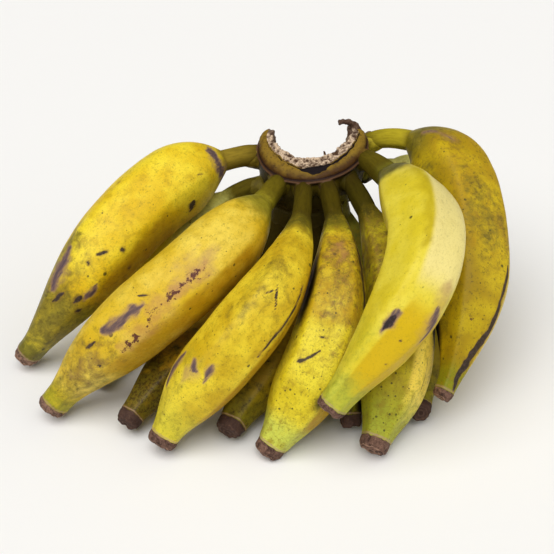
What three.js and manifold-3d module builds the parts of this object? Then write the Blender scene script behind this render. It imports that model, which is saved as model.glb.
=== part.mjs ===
// A hand of cooking plantains: twelve arched, ridged fingers in two rows on a crescent of crown that was
// torn off its stalk. It stands like a claw, with the crown up and the dried blossom tips down.
// Millimetres, +Z up, the front of the hand towards -Y. Angles are in degrees.

import * as THREE from 'three';
import { mergeVertices } from 'three/addons/utils/BufferGeometryUtils.js';
import loadManifold from 'manifold-3d';

const solids = await loadManifold();
solids.setup();

// The crown is a crescent round an upright axis. An angle of 0 points to the front and -90 to the left.
const CROWN_CENTRE = new THREE.Vector3(35, 92, 101);
const CROWN_RISE_RIGHT = 0.14; // slope of the crown, in mm up for each mm
const CROWN_RISE_BACK = 0.16;
const CROWN_STEPS = 60; // facets round a full turn
const CROWN_SECTION = [ // distance from the axis, height over the circle of the outer necks
  [24, -24], [30, -27], [35, -20], [37, -7], [36, 5], [34, 9], [30, 12], [26, 11], [21, 12.5], [18, 9],
  [18, -12],
];
const TORN_FACE_HEIGHT = 9.5; // what stands higher than this on the section is torn fibre
const TORN_RELIEF = 1.6; // half height of its tufts, which two waves round the axis make
const TORN_WAVES = [9, 4];
const END_START = 45; // the crescent's wall thins and sinks from this angle to the next, to both sides
const END_STOP = 110;
const END_KEEP = 35; // the wall keeps its place this far out, and its inside moves towards it by a share
const END_THINNING = 0.6;
const END_DROP = 0.5;
const BREAK_LINE = [ // where the crescent ends at the back: right of and behind the crown's axis
  [-60, 16], [-34, 15], [-29, 13], [-24, 15], [-16, 9], [0, 6], [16, 10], [23, 17], [29, 15], [36, 19],
  [60, 18],
];
const BREAK_REACH = 60;

// Torn strips of skin that stand up from the crown's two ends: points of their middle lines, thickest half.
const TORN_STRIPS = [
  { points: [[64, 92, 98], [65, 95, 111], [62, 97, 119], [52, 97, 120]], radius: 2.8 },
  { points: [[8, 94, 92], [5.5, 96, 97], [4.5, 97, 101], [6.5, 97, 105]], radius: 2.4 },
];
const STRIP_STATIONS = [0, 0.15, 0.3, 0.45, 0.6, 0.75, 0.88, 0.97];
const STRIP_SIDES = 8;
const STRIP_FLATNESS = 0.35;
const STRIP_THINNING = 0.6;

// The necks grow out of two circles inside the crown's outer wall, the inner row's below the outer row's.
const ROOT_RADIUS = 31.5;
const INNER_ROW_DROP = 17;
const SOCKET_GAP = 0.3;
const SOCKET_REACH = 0.13; // share of a finger's length that its socket is cut for

// A finger's section is a rounded five-sided one. Its radius is a share of the belly radius along its length.
const RIDGES = 5;
const RIDGE_DEPTH = 0.12; // how far the faces lie below the ridges, as a share of the radius
const RIDGE_SHARPNESS = 1.3;
const NECK_RIDGE = 0.4; // share of that depth at the root, which grows to all of it between these shares
const NECK_RIDGE_RANGE = [0.05, 0.3];
const SIDES = 15;
const TAPER_END = 0.975;
const TAPER_EASE = 1.6;
const STATIONS = [ // shares of the length where a ring of the skin lies
  0, 0.04, 0.08, 0.11, 0.14, 0.17, 0.2, 0.24, 0.29, 0.35, 0.42, 0.5, 0.58, 0.66, 0.73, 0.79, 0.84, 0.88,
  0.915, 0.945, 0.965, 0.98, 0.99,
];
const TIP_RIM = 0.8; // the last ring, at the rim of the dried tip, against the tip's radius

// Each finger's middle line starts at its root on the crown and passes through three points: a third of the
// way, two thirds and the tip. The neck and the tip are shares of the belly radius. The shoulder is where it
// starts, where it ends and how slowly it starts, and the taper is where it starts. Roll turns the ridges,
// and twist turns them further along the length. A drop is how far the root lies below the outer circle.
const OUTER_ROW = [
  {
    angle: -98, points: [[-62, 56, 93], [-106, 12, 62], [-149.5, -6, 7]], radius: 25.2, neck: 0.28,
    shoulder: [0.14, 0.315, 0.9], taper: 0.42, tip: 0.33, roll: 5, ridge: 0.06, colour: 0xc4a428,
  },
  {
    angle: -43, points: [[-30, -20, 92], [-79, -45, 58], [-126.5, -57, 7.5]], radius: 23.4, neck: 0.28,
    shoulder: [0.17, 0.39, 1], taper: 0.58, tip: 0.4, roll: 10, ridge: 0.07, colour: 0xd8bb45,
  },
  {
    angle: -13, points: [[12, -38, 88], [-22, -69, 54], [-57.5, -88.5, 7.5]], radius: 21.5, neck: 0.27,
    shoulder: [0.19, 0.64, 1.15], taper: 0.7, tip: 0.44, roll: 0, ridge: 0.09, colour: 0xccab2d,
  },
  {
    angle: 13, points: [[47, -22, 81], [33, -65, 46], [4, -90, 2]], radius: 21.5, neck: 0.29,
    shoulder: [0.19, 0.66, 0.9], taper: 0.7, tip: 0.44, roll: 36, colour: 0xb39a2c,
  },
  {
    angle: 39, points: [[81, -1, 71.5], [83.5, -48, 42.5], [66, -93, 7]], radius: 21.7, neck: 0.26,
    shoulder: [0.17, 0.6, 1], taper: 0.68, tip: 0.44, roll: 48, colour: 0xa8a030,
  },
  {
    angle: 68, points: [[96, -27, 117], [80, -75, 91], [39.5, -100, 43.5]], radius: 23, neck: 0.28, drop: -2,
    shoulder: [0.19, 0.42, 1], taper: 0.54, tip: 0.41, roll: -30, twist: 62, colour: 0xd9c23c,
  },
  {
    angle: 104, points: [[121, 60, 104], [127.4, -14, 67.5], [107, -69, 26.5]], radius: 25, neck: 0.24,
    drop: 3, shoulder: [0.15, 0.34, 0.9], taper: 0.57, tip: 0.26, roll: 22, colour: 0xb09a26,
  },
];
const INNER_ROW = [
  {
    angle: -72, points: [[-41, 70.5, 59.3], [-77.5, 27.5, 26.6], [-101, -30, 11]], radius: 20, neck: 0.3,
    drop: 12, shoulder: [0.16, 0.42, 1], taper: 0.6, tip: 0.42, roll: 0, colour: 0x8a7d26,
  },
  {
    angle: -33, points: [[-13, 33, 24], [-43, -18, 19.7], [-79, -73, 10.5]], radius: 20, neck: 0.42,
    shoulder: [0.06, 0.36, 1], taper: 0.6, tip: 0.41, roll: 20, colour: 0x85762a,
  },
  {
    angle: 0, points: [[31, 32, 36], [11, -20, 24], [-18.5, -80.5, 10.5]], radius: 20, neck: 0.31,
    shoulder: [0.1, 0.5, 1.3], taper: 0.62, tip: 0.45, roll: 0, colour: 0x7f7428,
  },
  {
    angle: 28, points: [[67, 40, 18], [59, -19, 20.5], [55.5, -72, 7.5]], radius: 18, neck: 0.31,
    shoulder: [0.06, 0.36, 1], taper: 0.56, tip: 0.38, roll: 20, colour: 0x82782a,
  },
  {
    angle: 82, points: [[117, 90, 61], [109, 4, 25], [97, -64, 11]], radius: 18.5, neck: 0.27, drop: 15,
    shoulder: [0.12, 0.31, 0.85], taper: 0.56, tip: 0.4, roll: 0, colour: 0x8c8230,
  },
];

const CROWN_COLOUR = 0x7d6a3e;
const SKIN_ROUGHNESS = 0.55;
const CROWN_ROUGHNESS = 0.9;

// The surface that the hand stands on trims small flat spots at its low points.
const SURFACE_SIZE = 500;
const SURFACE_DEPTH = 40;

const { clamp, degToRad, smoothstep } = THREE.MathUtils;

function toSolid(geometry) {
  const bare = new THREE.BufferGeometry();
  bare.setAttribute('position', geometry.getAttribute('position'));
  bare.setIndex(geometry.index);
  const merged = mergeVertices(bare);
  const triangles = [];
  for (let k = 0; k < merged.index.count; k += 3) {
    const [a, b, c] = [0, 1, 2].map((corner) => merged.index.getX(k + corner));
    if (a !== b && b !== c && c !== a) {
      triangles.push(a, b, c);
    }
  }
  return new solids.Manifold(new solids.Mesh({
    numProp: 3,
    vertProperties: new Float32Array(merged.getAttribute('position').array),
    triVerts: new Uint32Array(triangles),
  }));
}

function toMesh(name, solid, colour, roughness) {
  const { vertProperties, triVerts } = solid.getMesh();
  const geometry = new THREE.BufferGeometry();
  geometry.setAttribute('position', new THREE.BufferAttribute(vertProperties, 3));
  geometry.setIndex(new THREE.BufferAttribute(triVerts, 1));
  geometry.computeVertexNormals();
  const material = new THREE.MeshStandardMaterial({ color: colour, roughness, metalness: 0 });
  const mesh = new THREE.Mesh(geometry, material);
  mesh.name = name;
  return mesh;
}

// The cubic that starts at the first point, ends at the last and passes the other two at its thirds.
function curveThrough(start, third, twoThirds, end) {
  const blend = (a, b, c, d) => start.clone().multiplyScalar(a / 6)
    .addScaledVector(third, b / 6)
    .addScaledVector(twoThirds, c / 6)
    .addScaledVector(end, d / 6);
  return new THREE.CubicBezierCurve3(start, blend(-5, 18, -9, 2), blend(2, -9, 18, -5), end);
}

// Frames carried along the curve without twist, the first one with its normal upwards. A share below 0 lies
// on the straight line before the curve's start.
function framesAlong(curve, shares) {
  const length = curve.getLength();
  const normal = new THREE.Vector3(0, 0, 1);
  return shares.map((share) => {
    const onCurve = Math.max(share, 0);
    const tangent = curve.getTangentAt(onCurve);
    const point = curve.getPointAt(onCurve).addScaledVector(tangent, (share - onCurve) * length);
    normal.addScaledVector(tangent, -normal.dot(tangent)).normalize();
    const side = new THREE.Vector3().crossVectors(tangent, normal);
    return { point, side, normal: normal.clone() };
  });
}

// A straight turned body, closed at both ends, is laid along the curve ring by ring. Each ring has its share
// of the length and its radius. Relief scales the radius by the angle round the ring and the share, and
// rollAt is how far the section is turned at a share.
function bentBody(curve, rings, endShare, sides, relief, rollAt) {
  const profile = rings.map(({ share, radius }) => new THREE.Vector2(radius, share));
  const start = new THREE.Vector2(0, rings[0].share);
  const end = new THREE.Vector2(0, endShare);
  const body = new THREE.LatheGeometry([start, ...profile, end], sides);
  const frames = framesAlong(curve, [start.y, ...profile.map((ring) => ring.y), end.y]);
  const position = body.getAttribute('position');
  const vertex = new THREE.Vector3();
  for (let k = 0; k < position.count; k += 1) {
    vertex.fromBufferAttribute(position, k);
    const { point, side, normal } = frames[k % frames.length];
    const straight = vertex.y;
    const turn = Math.atan2(vertex.x, vertex.z);
    const radius = Math.hypot(vertex.x, vertex.z) * relief(turn, straight);
    const direction = turn + degToRad(rollAt(straight));
    vertex.copy(point)
      .addScaledVector(normal, radius * Math.cos(direction))
      .addScaledVector(side, radius * Math.sin(direction));
    position.setXYZ(k, vertex.x, vertex.y, vertex.z);
  }
  return toSolid(body);
}

function radiusAt(share, finger) {
  const [start, end, slowness] = finger.shoulder;
  const rise = Math.sin(0.5 * Math.PI * clamp((share - start) / (end - start), 0, 1)) ** slowness;
  const taper = clamp((share - finger.taper) / (TAPER_END - finger.taper), 0, 1) ** TAPER_EASE;
  const fall = smoothstep(taper, 0, 1);
  return finger.radius * (finger.neck + (1 - finger.neck) * rise) * (1 - (1 - finger.tip) * fall);
}

// The ridges stand at full radius with slightly hollowed faces between them, and fade on the neck.
function ridgeRelief(turn, share, ridge) {
  const depth = ridge * (NECK_RIDGE + (1 - NECK_RIDGE) * smoothstep(share, ...NECK_RIDGE_RANGE));
  return 1 - depth * Math.abs(Math.sin(0.5 * RIDGES * turn)) ** RIDGE_SHARPNESS;
}

function crownPoint(angle, radius, height) {
  const right = radius * Math.sin(degToRad(angle));
  const back = -radius * Math.cos(degToRad(angle));
  const rise = CROWN_RISE_RIGHT * right + CROWN_RISE_BACK * back;
  return CROWN_CENTRE.clone().add(new THREE.Vector3(right, back, height + rise));
}

function fingerCurve(finger) {
  const [third, twoThirds, tip] = finger.points.map((point) => new THREE.Vector3(...point));
  return curveThrough(crownPoint(finger.angle, ROOT_RADIUS, -finger.drop), third, twoThirds, tip);
}

function rollOf(finger) {
  return (share) => finger.roll + finger.twist * share;
}

function fingerBody(finger) {
  const rings = STATIONS.map((share) => ({ share, radius: radiusAt(share, finger) }));
  rings.at(-1).radius *= TIP_RIM;
  const relief = (turn, share) => ridgeRelief(turn, share, finger.ridge);
  return bentBody(fingerCurve(finger), rings, 1, SIDES, relief, rollOf(finger));
}

// The hole that a finger's neck grows out of: its neck again, wider and deeper by the gap.
function socketBody(finger) {
  const curve = fingerCurve(finger);
  const shares = STATIONS.filter((share) => share <= SOCKET_REACH);
  const rings = shares.map((share) => ({ share, radius: radiusAt(share, finger) + SOCKET_GAP }));
  rings[0].share -= SOCKET_GAP / curve.getLength();
  return bentBody(curve, rings, rings.at(-1).share, SIDES, () => 1, rollOf(finger));
}

// A strip of torn skin: a slim body, thickest where it leaves the crown.
function stripBody({ points, radius }) {
  const curve = curveThrough(...points.map((point) => new THREE.Vector3(...point)));
  const rings = STRIP_STATIONS.map((share) => ({ share, radius: radius * (1 - STRIP_THINNING * share) }));
  const flattened = (turn) => 1 - STRIP_FLATNESS * Math.sin(turn) ** 2;
  return bentBody(curve, rings, 1, STRIP_SIDES, flattened, () => 0);
}

function crownBody() {
  const ring = CROWN_SECTION.map(([out, up]) => new THREE.Vector2(out, up));
  const body = new THREE.LatheGeometry([...ring, ring[0].clone()], CROWN_STEPS).rotateX(Math.PI / 2);
  const position = body.getAttribute('position');
  for (let k = 0; k < position.count; k += 1) {
    const right = position.getX(k);
    const back = position.getY(k);
    const up = position.getZ(k);
    const turn = Math.atan2(right, -back);
    const tufts = TORN_RELIEF * Math.sin(TORN_WAVES[0] * turn) * Math.cos(TORN_WAVES[1] * turn);
    const torn = up > TORN_FACE_HEIGHT ? tufts : 0;
    const thin = smoothstep(Math.abs(turn), degToRad(END_START), degToRad(END_STOP));
    const out = Math.hypot(right, back);
    const spread = 1 + thin * END_THINNING * clamp((END_KEEP - out) / out, 0, 1);
    const drop = up > 0 ? thin * END_DROP * up : 0;
    const rise = CROWN_RISE_RIGHT * right + CROWN_RISE_BACK * back;
    position.setXYZ(k, right * spread, back * spread, up - drop + rise + torn);
  }
  body.translate(CROWN_CENTRE.x, CROWN_CENTRE.y, CROWN_CENTRE.z);
  return toSolid(body);
}

// What lies behind the crescent's torn ends, as a block to cut away.
function breakBody() {
  const outline = new THREE.Shape(BREAK_LINE.map(([right, back]) => new THREE.Vector2(right, back)));
  outline.lineTo(BREAK_LINE.at(-1)[0], BREAK_REACH);
  outline.lineTo(BREAK_LINE[0][0], BREAK_REACH);
  const block = new THREE.ExtrudeGeometry(outline, { depth: 2 * BREAK_REACH, bevelEnabled: false });
  block.translate(CROWN_CENTRE.x, CROWN_CENTRE.y, CROWN_CENTRE.z - BREAK_REACH);
  return toSolid(block);
}

const surface = toSolid(new THREE.BoxGeometry(SURFACE_SIZE, SURFACE_SIZE, SURFACE_DEPTH)
  .translate(0, 0, -SURFACE_DEPTH / 2));

const plain = { twist: 0, ridge: RIDGE_DEPTH };
const outer = { ...plain, drop: 0 };
const inner = { ...plain, drop: INNER_ROW_DROP };
const fingers = [
  ...OUTER_ROW.map((finger, k) => ({ ...outer, ...finger, name: `finger_outer_${k + 1}` })),
  ...INNER_ROW.map((finger, k) => ({ ...inner, ...finger, name: `finger_inner_${k + 1}` })),
];

const hand = new THREE.Group();
for (const finger of fingers) {
  const body = fingerBody(finger).subtract(surface);
  hand.add(toMesh(finger.name, body, finger.colour, SKIN_ROUGHNESS));
}

let crown = crownBody().subtract(breakBody());
for (const strip of TORN_STRIPS) {
  crown = crown.add(stripBody(strip));
}
for (const finger of fingers) {
  crown = crown.subtract(socketBody(finger));
}
hand.add(toMesh('crown', crown, CROWN_COLOUR, CROWN_ROUGHNESS));

// The origin is the middle of the hand's box, on the surface that it stands on.
const box = new THREE.Box3().setFromObject(hand);
hand.position.set(-(box.min.x + box.max.x) / 2, -(box.min.y + box.max.y) / 2, -box.min.z);

const part = new THREE.Group();
part.add(hand);

export default part;
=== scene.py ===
"""A hand of cooking plantains on a pale floor: twelve ridged, spotted fingers on a torn crown."""

import itertools
import math
from types import SimpleNamespace

import bpy
import numpy as np
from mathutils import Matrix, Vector


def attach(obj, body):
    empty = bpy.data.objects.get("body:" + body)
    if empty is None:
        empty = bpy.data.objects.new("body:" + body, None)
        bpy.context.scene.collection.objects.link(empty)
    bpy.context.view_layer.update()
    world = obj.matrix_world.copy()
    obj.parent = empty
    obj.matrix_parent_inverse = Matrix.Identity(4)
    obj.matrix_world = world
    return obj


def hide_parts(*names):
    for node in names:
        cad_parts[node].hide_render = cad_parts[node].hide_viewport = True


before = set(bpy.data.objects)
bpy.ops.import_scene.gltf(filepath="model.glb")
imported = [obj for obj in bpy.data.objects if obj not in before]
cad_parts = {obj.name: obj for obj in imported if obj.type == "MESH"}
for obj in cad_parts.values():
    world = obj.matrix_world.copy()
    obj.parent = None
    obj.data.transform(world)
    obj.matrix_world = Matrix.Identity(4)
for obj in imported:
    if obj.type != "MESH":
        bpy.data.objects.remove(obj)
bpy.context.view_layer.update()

MM = 0.001

# The hand's measures, as in the part's source: millimetres and degrees.
SHIFT = np.array([0.9022, -6.0681, 0.0])
CROWN_CENTRE = np.array([35.0, 92.0, 101.0])
CROWN_RISE = (0.14, 0.16)
ROOT_RADIUS = 31.5
INNER_ROW_DROP = 17
RIDGES = 5
RIDGE_DEPTH = 0.12
RIDGE_SHARPNESS = 1.3
NECK_RIDGE = 0.4
NECK_RIDGE_RANGE = (0.05, 0.3)
TAPER_END = 0.975
TAPER_EASE = 1.6
ROOT_SLIMMING = 0.2
ROOT_REACH = 14

# Each finger: its angle round the crown, how far it drops under it, three points of its middle line after
# the start, its radius, the shares of that at neck and tip, and where its shoulder and its taper are.
SHAPES = {
    "outer_1": dict(
        angle=-98, points=[(-62, 56, 93), (-106, 12, 62), (-149.5, -6, 7)], radius=25.2, neck=0.28,
        shoulder=(0.14, 0.315, 0.9), taper=0.42, tip=0.33, roll=5, ridge=0.06),
    "outer_2": dict(
        angle=-43, points=[(-30, -20, 92), (-79, -45, 58), (-126.5, -57, 7.5)], radius=23.4, neck=0.28,
        shoulder=(0.17, 0.39, 1.0), taper=0.58, tip=0.4, roll=10, ridge=0.07),
    "outer_3": dict(
        angle=-13, points=[(12, -38, 88), (-22, -69, 54), (-57.5, -88.5, 7.5)], radius=21.5, neck=0.27,
        shoulder=(0.19, 0.64, 1.15), taper=0.7, tip=0.44, roll=0, ridge=0.09),
    "outer_4": dict(
        angle=13, points=[(47, -22, 81), (33, -65, 46), (4, -90, 2)], radius=21.5, neck=0.29,
        shoulder=(0.19, 0.66, 0.9), taper=0.7, tip=0.44, roll=36),
    "outer_5": dict(
        angle=39, points=[(81, -1, 71.5), (83.5, -48, 42.5), (66, -93, 7)], radius=21.7, neck=0.26,
        shoulder=(0.17, 0.6, 1.0), taper=0.68, tip=0.44, roll=48),
    "outer_6": dict(
        angle=68, points=[(96, -27, 117), (80, -75, 91), (39.5, -100, 43.5)], radius=23, neck=0.28,
        shoulder=(0.19, 0.42, 1.0), taper=0.54, tip=0.41, roll=-30, twist=62, drop=-2),
    "outer_7": dict(
        angle=104, points=[(121, 60, 104), (127.4, -14, 67.5), (107, -69, 26.5)], radius=25, neck=0.24,
        shoulder=(0.15, 0.34, 0.9), taper=0.57, tip=0.26, roll=22, drop=3),
    "inner_1": dict(
        angle=-72, points=[(-41, 70.5, 59.3), (-77.5, 27.5, 26.6), (-101, -30, 11)], radius=20, neck=0.3,
        shoulder=(0.16, 0.42, 1.0), taper=0.6, tip=0.42, roll=0, drop=12),
    "inner_2": dict(
        angle=-33, points=[(-13, 33, 24), (-43, -18, 19.7), (-79, -73, 10.5)], radius=20, neck=0.42,
        shoulder=(0.06, 0.36, 1.0), taper=0.6, tip=0.41, roll=20),
    "inner_3": dict(
        angle=0, points=[(31, 32, 36), (11, -20, 24), (-18.5, -80.5, 10.5)], radius=20, neck=0.31,
        shoulder=(0.1, 0.5, 1.3), taper=0.62, tip=0.45, roll=0),
    "inner_4": dict(
        angle=28, points=[(67, 40, 18), (59, -19, 20.5), (55.5, -72, 7.5)], radius=18, neck=0.31,
        shoulder=(0.06, 0.36, 1.0), taper=0.56, tip=0.38, roll=20),
    "inner_5": dict(
        angle=82, points=[(117, 90, 61), (109, 4, 25), (97, -64, 11)], radius=18.5, neck=0.27,
        shoulder=(0.12, 0.31, 0.85), taper=0.56, tip=0.4, roll=0, drop=15),
}

# The dried tip, ring by ring: how far before the finger's end, as a share of the tip's own length, and the
# share of the finger's radius there. It narrows to a blunt face that is sunk round its middle.
TIP_RINGS = [
    (1.0, 1.0), (0.96, 0.99), (0.92, 0.965), (0.86, 0.95), (0.78, 0.957), (0.68, 0.955), (0.58, 0.945),
    (0.48, 0.93), (0.38, 0.91), (0.29, 0.885), (0.21, 0.85), (0.14, 0.81), (0.08, 0.76), (0.035, 0.69),
    (0.01, 0.61), (0.05, 0.53), (0.08, 0.45), (0.05, 0.37), (0.0, 0.29), (-0.01, 0.21), (0.02, 0.13),
    (0.03, 0.05),
]

# Its pale rim, in millimetres past the first ring, with half the rim's width. Its paler rings and its dark
# core set in between these shares of the radius. The ridges are flatter on it by this share.
CAP_RIM = (-0.4, 1.4)
CAP_RINGS = (0.9, 0.8)
CAP_CORE = (0.34, 0.1)
TIP_RIDGE_LOSS = 0.6

# Colours of the skin, linear.
GREEN = (0.25, 0.29, 0.014)
PALE = (0.76, 0.56, 0.10)
OLIVE = (0.13, 0.10, 0.006)
MOTTLE = (0.36, 0.24, 0.006)
RUSSET = (0.24, 0.12, 0.02)
# Painted shade: the orange-yellow of outer_6's lower face, turned from the light.
WARM_SHADE = (0.64, 0.43, 0.004)
# The skin's orange tone; on the lower flanks turned from the light it is also painted warm shade.
ORANGE = (0.46, 0.25, 0.004)
STRIPE = (0.50, 0.38, 0.006)
SHADE = (0.15, 0.125, 0.012)
# The darkest brown of the skin's dark patches, and also the painted shade in the gaps between the fingers.
GRIME_AND_SHADE = (0.035, 0.02, 0.003)
HALO = (0.42, 0.24, 0.11)
PINK = (0.47, 0.22, 0.08)
RUST = (0.085, 0.018, 0.015)
BRUISE = (0.15, 0.085, 0.095)
BRUISE_CORE = (0.05, 0.038, 0.055)
BLACK = (0.018, 0.012, 0.013)
BLACK_PALE = (0.06, 0.038, 0.045)
DOT = (0.05, 0.045, 0.006)
CAP = (0.185, 0.10, 0.07)
CAP_PALE = (0.42, 0.25, 0.17)
CAP_DARK = (0.045, 0.022, 0.016)
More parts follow.
